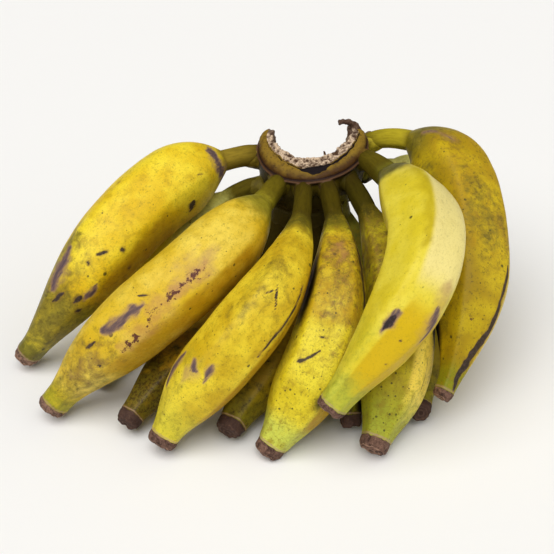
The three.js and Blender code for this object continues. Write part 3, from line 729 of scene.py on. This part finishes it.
def paint_mottling(g, n, mottled):
    g.cover(g.step(n.cloudy, 0.47, 0.7), MOTTLE, 0.7 * mottled)
    g.cover(g.step(n.fine, 0.5, 0.7), MOTTLE, 0.12 + 0.34 * mottled)
    g.cover(g.step(n.small, 0.54, 0.68), OLIVE, 0.1 + 0.5 * mottled)
    russet = g.mix(g.step(n.small, 0.4, 0.65), RUSSET, OLIVE)
    g.paint("brown", n.patchy, 2.0, 0.5, 1.2, russet, 0.85)
    shade = g.mix(g.step(n.patchy, 0.4, 0.66), SHADE, darker(SHADE, 0.5))
    g.paint("shade", n.cloudy, 1.3, 0.25, 1.05, shade, 0.85)
    murk = g.mix(g.step(n.small, 0.38, 0.62), OLIVE, GRIME_AND_SHADE)
    g.paint("dark", n.patchy, 2.2, 0.35, 1.15, murk, 0.92)


def paint_dots(g, n):
    """Small dark dots, more of them and larger where the skin is specked."""
    for spacing, share in DOTS:
        cells = g.node("ShaderNodeTexVoronoi", {"Vector": n.where, "Scale": 1 / spacing, "Randomness": 1.0})
        picked = g.node("ShaderNodeSeparateColor", {"Color": cells.outputs["Color"]})
        size = g.times(g.times(picked.outputs[0], picked.outputs[1]), 0.24)
        size = g.plus(size, g.times(g.field("specks"), 0.12))
        away = g.plus(cells.outputs["Distance"], g.times(g.math("SUBTRACT", n.small, 0.5), 0.25))
        often = g.times(g.plus(g.field("dots"), g.field("specks")), share)
        kept = g.math("LESS_THAN", picked.outputs[2], often)
        g.cover(g.times(g.step(g.math("SUBTRACT", size, away), -0.03, 0.04), kept), DOT, 0.85)


def paint_neck_and_gaps(g, n, look):
    # The neck is darker towards the crown, where it goes in under the crown's lip.
    dark_stem = g.mix(g.field("root"), darker(look["stem"], 0.5), GRIME_AND_SHADE)
    stem = g.over(look["stem"], g.step(n.streak, 0.35, 0.75), dark_stem, 0.6)
    stem = g.over(stem, g.field("root"), dark_stem, 0.7)
    g.paint("neck", n.middle, 0.7, 0.2, 0.9, stem)
    # Painted shade in the gaps between the fingers, and a darker painted shadow where two fingers touch.
    g.paint("gap", n.cloudy, 0.4, 0.3, 0.9, GRIME_AND_SHADE, look.get("gap_shade", GAP_SHADE))
    g.paint("gap", n.cloudy, 0.2, 0.72, 0.98, darker(GRIME_AND_SHADE, 0.25))


def paint_marks(g, n):
    """Bruises, black marks and rust; gives the mask of the bruised and black skin.

    A bruise is a soft brown halo, a purplish stain and a dark streaked core. A black mark has a brown edge.
    """
    broken = g.plus(g.times(n.streak, 0.6), g.times(n.patchy, 0.4))
    stained = g.math("MAXIMUM", g.field("bruise"), g.field("halo"))
    g.paint(stained, n.cloudy, 0.9, 0.05, 0.85, HALO, 0.62)
    g.paint("pink", n.cloudy, 1.2, 0.2, 1.0, PINK, 0.55)
    g.paint("black", n.cloudy, 0.6, 0.1, 0.5, RUSSET, 0.45)
    g.paint("rust", n.blotch, 3.2, 0.66, 0.84, RUST, 0.95)
    bruise = g.grow("bruise", broken, 1.5, 0.36, 0.86)
    g.cover(bruise, BRUISE, 0.85)
    g.paint("bruise", n.streak, 1.8, 0.6, 1.1, BRUISE_CORE, 0.7)
    black = g.grow("black", broken, 1.3, 0.4, 0.66)
    g.cover(black, g.mix(g.step(n.small, 0.42, 0.72), BLACK, BLACK_PALE), 0.93)
    return g.math("MAXIMUM", bruise, black)


def paint_dried_tip(g, n, light):
    """The dried tip, with paler rings and flecks and a dark core; gives its mask."""
    ground = tuple(a + (b - a) * 0.6 * abs(light) for a, b in zip(CAP, CAP_PALE if light > 0 else CAP_DARK))
    rings, flecks = (0.75, 0.45) if light >= 0 else (0.1, 0.1)
    tone = g.mix(g.step(n.patchy, 0.36, 0.62), CAP_DARK, ground)
    tone = g.over(tone, g.grow("ring", n.blotch, 1.8, 0.5, 1.2), CAP_PALE, rings)
    tone = g.over(tone, g.step(n.small, 0.56, 0.68), CAP_PALE, flecks)
    tone = g.over(tone, g.grow("core", n.small, 0.8, 0.4, 0.9), CAP_DARK, 0.85)
    g.paint("rim", n.small, 0.5, 0.4, 0.8, CAP_PALE, 0.75)
    cap = g.grow("cap", n.small, 0.8, 0.35, 0.7)
    g.cover(cap, tone)
    return cap


def skin_material(name, look, seed):
    g = Graph("skin_" + name)
    n = skin_noises(g, seed)
    paint_ground(g, n, look)
    paint_mottling(g, n, look["mottle"])
    paint_dots(g, n)
    paint_neck_and_gaps(g, n, look)
    worn = paint_marks(g, n)
    cap = paint_dried_tip(g, n, look.get("cap_light", 0.0))
    g.put(g.shader.inputs["Base Color"], g.colour)

    neck = g.field("neck")
    rough = g.plus(g.step(n.middle, 0.3, 0.7, 0.44, 0.58), g.times(worn, 0.12))
    dry = g.times(g.math("MAXIMUM", cap, neck), 0.35)
    g.put(g.shader.inputs["Roughness"], g.math("ADD", rough, dry, clamp=True))
    g.put(g.shader.inputs["Specular IOR Level"], g.step(neck, 0.0, 1.0, *SKIN_SHINE))

    height = g.plus(g.times(n.fine, 0.25), g.times(n.small, 0.6))
    height = g.math("SUBTRACT", height, g.times(worn, 0.5))
    height = g.plus(height, g.times(g.times(cap, n.patchy), 3.0))
    g.bump(height, distance=0.0003, strength=0.5)
    return g.material


for number, name in enumerate(SHAPES):
    skin = Skin(name, 10 * number + 1).make()
    skin.data.materials.append(skin_material(name, LOOKS[name], number + 1))
    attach(skin, "root")
    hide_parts("finger_" + name)

# The crown: a crescent of stalk tissue with a torn fibrous face, a smooth band, a lip and a collar at each
# neck. The lip's line has angles, distances from the axis and heights. The section runs from the underside
# up the wall to the lip, over the band to the torn face and down the inside, measured from the lip.
LIP_LINE = [
    (-110, 34.5, 9.0), (-98, 36, 9.0), (-60, 38, 7.5), (-30, 39, 6.5), (0, 39, 6.5), (30, 38.5, 6.5),
    (60, 37, 7.0), (85, 34.5, 6.5), (98, 32.5, 6.0), (115, 31.5, 5.0),
]
SECTION = [
    (-15, -31), (-9, -34), (-4, -27), (-1.6, -14), (-0.9, -4), (0, -0.8), (0, 0.4), (-1.2, 1.6), (-3.8, 3.6),
    (-6.6, 5.6), (-9, 6.2), (-12, 5.6), (-15.5, 6), (-17.5, 2), (-18, -16),
]
SECTION_STEPS = 6
CRESCENT = (-106, 110)
CRESCENT_STEPS = 150
VOXEL = 0.55

# The crescent thins between these angles, to both sides, and its ends are torn.
END_RANGE = (40, 110)
END_THINNING = 0.5
TORN_ENDS = (103, 106)

# Torn strips and frayed bits that stand up: points of their middle lines and their thickest radius.
STRIPS = [
    ([(64, 92, 98), (64.5, 95, 111), (61, 97, 118.5), (51, 97, 120)], 2.8),
    ([(8, 94, 92), (5.5, 96, 97), (4.5, 97, 101), (6, 97, 104.5)], 2.0),
    ([(59, 90, 106), (58.9, 90.3, 111), (58, 90.6, 115), (56, 91, 118.5)], 1.3),
    ([(42, 72, 104), (42, 72, 108), (41.5, 72.5, 110.5), (40.5, 73, 112.5)], 1.1),
]
STRIP_POINTS = 24
STRIP_THINNING = 0.35
STRIP_EDGE = 1.5

# A collar swells round each neck where it leaves the crown, and sinks under the neck's skin further out.
COLLAR_LENGTH = 18
COLLAR_RISE = 3.0
COLLAR_SINK = 3.8
COLLAR_SAG = 3.0
COLLAR_FADE = 3.0

# The smooth band between the lip and the torn face. It is notched at its front, where a crack gapes.
FRONT = -1
BAND_WIDTH = 6.6
BAND_WIDENING = 2.6
BAND_BULGE = 1.0
NOTCH = 14
LIP_WIDTH = 1.0
LIP_HEIGHT = 1.1
RIM_HEIGHT = -0.3
CRACK_WIDTH = 0.45
CRACK_GAPE = 3.4
CRACK_GAPE_ANGLE = 20
CRACK_WIDENING = 0.5
CRACK_DEPTH = 1.6

# The crown's unevenness, as pairs of height and wavelength: the band's torn edge, the fibres and the band.
EDGE_WAVES = [(0.9, 7), (0.6, 2.5)]
FIBRE_WAVES = [(0.5, 3.2), (0.8, 1.5), (0.5, 0.85)]
BAND_WAVES = [(0.25, 6), (0.12, 2)]
FIBRE_STRETCH = np.array([1, 1, 0.6])

# Colours of the crown, linear.
STEM_STAIN = (0.05, 0.034, 0.003)
# The crown's underside: its dark olive, darkened further as painted shade.
UNDERSIDE = (0.055, 0.04, 0.003)
UNDERSIDE_DARK = (0.022, 0.015, 0.002)
GROOVE = (0.03, 0.014, 0.006)
BAND_LOW = (0.075, 0.032, 0.006)
BAND_HIGH = (0.24, 0.145, 0.014)
BAND_STAIN = (0.06, 0.028, 0.006)
BAND_SPECK = (0.03, 0.015, 0.006)
RIM = (0.12, 0.06, 0.035)
LIP = (0.028, 0.012, 0.008)
PITH = (0.70, 0.53, 0.37)
# The pith's brown in the torn face's hollows, darkened there as painted shade.
PITH_HOLLOW_SHADE = (0.07, 0.036, 0.02)
PITH_GRAIN = (0.09, 0.045, 0.026)
PITH_BURNT = (0.07, 0.038, 0.026)
STRIP = (0.075, 0.04, 0.026)
CRACK = (0.012, 0.008, 0.009)
CROWN_SHINE = 0.15


def tube(line, radii, sides=16):
    """A closed tube along points, each with its own radius."""
    tangent = unit(np.gradient(line, axis=0))
    helper = np.array([0.31, 0.17, 0.93])
    side = unit(np.cross(tangent, helper))
    up = np.cross(tangent, side)
    turn = np.linspace(0, 2 * np.pi, sides, endpoint=False)
    ring = np.cos(turn)[None, :, None] * side[:, None] + np.sin(turn)[None, :, None] * up[:, None]
    vertices = (line[:, None] + radii[:, None, None] * ring).reshape(-1, 3)
    return np.concatenate([vertices, line[:1], line[-1:]]), grid_faces(len(line), sides)


def merge(parts):
    vertices = np.concatenate([points for points, _ in parts])
    faces = []
    start = 0
    for points, polygons in parts:
        faces.extend([[index + start for index in polygon] for polygon in polygons])
        start += len(points)
    return vertices, faces


def lip_at(angles):
    table = np.array(LIP_LINE, float)
    return np.interp(angles, table[:, 0], table[:, 1]), np.interp(angles, table[:, 0], table[:, 2])


def thickness(angles):
    """The crescent's thickness as a share of that at its front."""
    return 1 - END_THINNING * ramp(np.abs(angles), *END_RANGE)


def rounded_section():
    """The section's points with a smooth curve through them."""
    section = np.array(SECTION, float)
    loop = []
    for k in range(len(section)):
        a, b, c, d = (section[(k + step) % len(section)] for step in (-1, 0, 1, 2))
        for t in np.arange(SECTION_STEPS) / SECTION_STEPS:
            bend = (2 * a - 5 * b + 4 * c - d) * t * t + (3 * b - 3 * c + d - a) * t ** 3
            loop.append(0.5 * (2 * b + (c - a) * t + bend))
    return np.array(loop)


def crescent():
    loop = rounded_section()
    angles = np.linspace(*CRESCENT, CRESCENT_STEPS)
    lip_out, lip_height = lip_at(angles)
    out = lip_out[:, None] + loop[None, :, 0] * thickness(angles)[:, None]
    height = lip_height[:, None] + loop[None, :, 1]
    vertices = crown_point(np.repeat(angles[:, None], len(loop), 1), out, height).reshape(-1, 3)
    ends = np.stack([vertices[:len(loop)].mean(0), vertices[-len(loop):].mean(0)])
    return np.concatenate([vertices, ends]), grid_faces(CRESCENT_STEPS, len(loop))


def collar(name):
    axis = AXES[name]
    way = np.linspace(0, COLLAR_LENGTH, 14)
    point = axis.at(way / axis.length)[0]
    point[:, 2] -= COLLAR_SAG * (1 - way / COLLAR_LENGTH)
    neck = radius_at(way / axis.length, SHAPES[name]) * root_factor(way)
    return tube(point, neck + COLLAR_RISE - COLLAR_SINK * smooth(way / COLLAR_LENGTH), 24)


def torn_strip(points, radius):
    radii = radius * (1 - STRIP_THINNING * np.linspace(0, 1, STRIP_POINTS))
    return tube(curve_through(points, STRIP_POINTS), radii)


def neck_colours(points):
    """How near each point is to a neck, and the colour of the nearest neck."""
    nearest = np.full(len(points), np.inf)
    colour = np.zeros((len(points), 3))
    for name, axis in AXES.items():
        shares = np.linspace(0, 1.4 * COLLAR_LENGTH, 20) / axis.length
        away = np.linalg.norm(points[:, None] - axis.at(shares)[0][None], axis=2)
        gap = np.min(away - radius_at(shares, SHAPES[name]), axis=1)
        colour[gap < nearest] = LOOKS[name]["stem"]
        nearest = np.minimum(nearest, gap)
    return 1 - smooth((nearest - 0.5) / COLLAR_FADE), colour


def remeshed(vertices, faces):
    """Points, normals and faces of one even, softened mesh round all the parts."""
    mesh = bpy.data.meshes.new("crown_rough")
    mesh.from_pydata(vertices.tolist(), [], faces)
    rough = bpy.data.objects.new("crown_rough", mesh)
    bpy.context.scene.collection.objects.link(rough)
    remesh = rough.modifiers.new("remesh", "REMESH")
    remesh.mode = "VOXEL"
    remesh.voxel_size = VOXEL
    soften = rough.modifiers.new("soften", "SMOOTH")
    soften.factor = 0.5
    soften.iterations = 5
    made = bpy.data.meshes.new_from_object(rough.evaluated_get(bpy.context.evaluated_depsgraph_get()))
    points = np.zeros(3 * len(made.vertices))
    made.vertices.foreach_get("co", points)
    normals = np.zeros(3 * len(made.vertices), np.float32)
    made.vertex_normals.foreach_get("vector", normals)
    polygons = [list(p.vertices) for p in made.polygons]
    bpy.data.objects.remove(rough)
    bpy.data.meshes.remove(made)
    return points.reshape(-1, 3), normals.reshape(-1, 3).astype(float), polygons


def strip_share(points):
    """1 on the torn strips, from a third of the way up, and 0 a little off them."""
    share = np.zeros(len(points))
    for line, radius in STRIPS:
        upper = curve_through(line, 30)[8:]
        gap = np.min(np.linalg.norm(points[:, None] - upper[None], axis=2), axis=1)
        share = np.maximum(share, smooth((radius + STRIP_EDGE - gap) / STRIP_EDGE))
    return share


def crown_zones(points):
    """Where each point is on the crown, and how far it is torn, cracked, on the lip or on the rim."""
    local = points - CROWN_CENTRE
    angle = np.degrees(np.arctan2(local[:, 0], -local[:, 1]))
    out = np.hypot(local[:, 0], local[:, 1])
    height = local[:, 2] - CROWN_RISE[0] * local[:, 0] - CROWN_RISE[1] * local[:, 1]
    lip_out, lip_height = lip_at(angle)
    above = height - lip_height
    inwards = lip_out - out

    band_width = BAND_WIDTH + BAND_WIDENING * ramp(np.abs(angle), 15, 55)
    edge = inwards / thickness(angle) - band_width + waves(points, EDGE_WAVES, 71)
    strip = strip_share(points)
    torn = np.maximum(smooth(edge / 1.2) * ramp(above, -36, -32), ramp(np.abs(angle), *TORN_ENDS))
    torn = np.maximum(torn, strip)
    gape = CRACK_GAPE * peak(angle, FRONT, CRACK_GAPE_ANGLE)
    reach = CRACK_WIDTH + gape + CRACK_WIDENING * ramp(angle, 5, 25)
    crack = peak(edge, -0.3 * reach, reach) * (above > 0) * (np.abs(angle) < 85)
    on_band = smooth((inwards + 2) / 1.2)
    near_lip = (inwards < 4) * on_band
    return SimpleNamespace(
        angle=angle, above=above, inwards=inwards, torn=torn, strip=strip, crack=crack, on_band=on_band,
        fibre=waves(points * FIBRE_STRETCH, FIBRE_WAVES, 73),
        lip=peak(above, LIP_HEIGHT, LIP_WIDTH) * near_lip,
        rim=peak(above, RIM_HEIGHT, LIP_WIDTH) * near_lip)


def crown_push(points, zone):
    """How far each point moves out: fibres, the crack, the lip, the rim and the band's two lobes."""
    whole = 1 - zone.torn
    push = zone.torn * zone.fibre * (1 - 0.4 * zone.strip) - CRACK_DEPTH * smooth(1.6 * zone.crack)
    push += whole * (0.6 * zone.rim - 0.5 * zone.lip + waves(points, BAND_WAVES, 76))
    lobes = 1 - np.exp(-((zone.angle - FRONT) / NOTCH) ** 2)
    bulge = np.sin(np.pi * np.clip((zone.above - 1) / 5, 0, 1))
    return push + BAND_BULGE * whole * lobes * bulge * (zone.inwards < 14) * zone.on_band


def crown():
    parts = [crescent()]
    parts += [collar(name) for name in SHAPES]
    parts += [torn_strip(*strip) for strip in STRIPS]
    points, normals, faces = remeshed(*merge(parts))
    zone = crown_zones(points)
    collar_share, stem = neck_colours(points)
    points = points + normals * crown_push(points, zone)[:, None]
    fields = dict(
        torn=zone.torn, strip=zone.strip, collar=collar_share, stem=stem, place=points.copy(), rim=zone.rim,
        lip=zone.lip * (1 - zone.torn),
        crack=smooth(1.8 * zone.crack),
        pit=np.clip(0.5 + 0.45 * zone.fibre, 0, 1),
        band=smooth(zone.above + 1) * zone.on_band,
        rise=np.clip((zone.above - 1) / 4.5, 0, 1),
        groove=peak(zone.above, -2.2, 1.6) * (zone.inwards < 5),
        burnt=np.maximum(0.7 * ramp(zone.angle, 60, 85), 0.9 * ramp(-zone.angle, 92, 100)))
    return make_object("crown_tissue", points + SHIFT, faces, fields)


def crown_material():
    g = Graph("crown_tissue")
    where = g.place("place")
    upright = g.place("place", scale=(1, 1, 0.3))
    broad = g.noise(where, 14, 3)
    middle = g.noise(where, 5, 5, 0.65)
    small = g.noise(where, 1.6, 5, 0.7)
    grain = g.noise(where, 0.8, 4, 0.75)
    fibre = g.noise(upright, 1.1, 4, 0.7)

    stem = g.over(g.field("stem", "Color"), g.step(middle, 0.38, 0.7), STEM_STAIN, 0.7)
    # The underside's dark olive is partly painted shade.
    under = g.mix(g.step(middle, 0.4, 0.68), UNDERSIDE, UNDERSIDE_DARK)
    under = g.over(under, g.grow("collar", small, 0.5, 0.25, 0.8), stem)
    under = g.over(under, g.grow("groove", small, 0.7, 0.3, 0.8), GROOVE, 0.75)
    band = g.mix(g.grow("rise", broad, 1.5, 0.2, 0.95), BAND_LOW, BAND_HIGH)
    band = g.over(band, g.step(middle, 0.5, 0.7), BAND_STAIN, 0.7)
    band = g.over(band, g.step(small, 0.52, 0.66), BAND_SPECK, 0.5)
    g.colour = g.mix(g.field("band"), under, band)
    g.paint("rim", small, 0.5, 0.2, 0.7, RIM, 0.7)
    g.paint("lip", small, 0.5, 0.3, 0.65, LIP)
    # The torn pith is pale tan on its raised crumbs and dark in its hollows: painted shade that follows the
    # fibres' relief.
    raised = g.plus(g.field("pit"), g.times(fibre, 0.6))
    pith = g.mix(g.step(raised, 0.55, 1.05), PITH_HOLLOW_SHADE, PITH)
    pith = g.over(pith, g.step(grain, 0.5, 0.62), PITH_GRAIN, 0.85)
    pith = g.over(pith, g.grow("burnt", small, 1.4, 0.3, 0.9), PITH_BURNT, 0.85)
    pith = g.over(pith, g.grow("strip", fibre, 1.2, 0.4, 1.0), STRIP, 0.85)
    g.paint("torn", small, 0.6, 0.35, 0.65, pith)
    cracked = g.grow("crack", small, 0.5, 0.3, 0.7)
    g.cover(cracked, CRACK)
    g.put(g.shader.inputs["Base Color"], g.colour)

    dry = g.math("MAXIMUM", g.field("torn"), cracked)
    g.put(g.shader.inputs["Roughness"], g.step(dry, 0.2, 0.8, 0.55, 0.95))
    g.shader.inputs["Specular IOR Level"].default_value = CROWN_SHINE
    height = g.plus(g.times(small, 0.6), g.times(fibre, 1.2))
    g.bump(height, distance=0.0005, strength=0.6)
    return g.material


tissue = crown()
tissue.data.materials.append(crown_material())
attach(tissue, "root")
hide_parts("crown")

# The floor, the light and the camera, in metres and degrees.
FLOOR_SIZE = 8.0
FLOOR_COLOUR = (0.86, 0.86, 0.855, 1)
FLOOR_ROUGHNESS = 0.8
SKY_COLOUR = (1.0, 1.0, 1.0, 1)
SKY_STRENGTH = 0.13
CAMERA_TARGET = Vector(SHIFT + np.array([11, 8, 60])) * MM
CAMERA_DISTANCE = 0.85
CAMERA_ELEVATION = 35
CAMERA_SENSOR = 36
CAMERA_LENS = 89.09


def floor():
    mesh = bpy.data.meshes.new("floor")
    half = FLOOR_SIZE / 2
    corners = [(-half, -half, 0), (half, -half, 0), (half, half, 0), (-half, half, 0)]
    mesh.from_pydata(corners, [], [(0, 1, 2, 3)])
    made = bpy.data.objects.new("floor", mesh)
    bpy.context.scene.collection.objects.link(made)
    g = Graph("floor")
    g.shader.inputs["Base Color"].default_value = FLOOR_COLOUR
    g.shader.inputs["Roughness"].default_value = FLOOR_ROUGHNESS
    mesh.materials.append(g.material)
    return made


floor()


def soft_sun(name, source, spread, strength, colour):
    """Even light from a wide patch of sky round the direction of source."""
    light = bpy.data.lights.new(name, "SUN")
    light.angle = math.radians(spread)
    light.energy = strength
    light.color = colour
    made = bpy.data.objects.new(name, light)
    made.rotation_euler = (-Vector(source)).to_track_quat("-Z", "Y").to_euler()
    bpy.context.scene.collection.objects.link(made)


soft_sun("overhead", (-0.25, -0.45, 1.0), spread=60, strength=2.85, colour=(1.0, 0.985, 0.96))
soft_sun("right", (0.9, -0.25, 0.9), spread=70, strength=0.8, colour=(1.0, 0.98, 0.95))

world = bpy.data.worlds.new("studio")
world.use_nodes = True
sky = world.node_tree.nodes["Background"]
sky.inputs["Color"].default_value = SKY_COLOUR
sky.inputs["Strength"].default_value = SKY_STRENGTH
bpy.context.scene.world = world
bpy.context.scene.view_settings.view_transform = "Standard"

camera_data = bpy.data.cameras.new("camera")
camera_data.sensor_width = CAMERA_SENSOR
camera_data.lens = CAMERA_LENS
camera = bpy.data.objects.new("camera", camera_data)
lift = math.radians(CAMERA_ELEVATION)
camera.location = CAMERA_TARGET + CAMERA_DISTANCE * Vector((0, -math.cos(lift), math.sin(lift)))
camera.rotation_euler = (CAMERA_TARGET - camera.location).to_track_quat("-Z", "Y").to_euler()
bpy.context.scene.collection.objects.link(camera)
bpy.context.scene.camera = camera
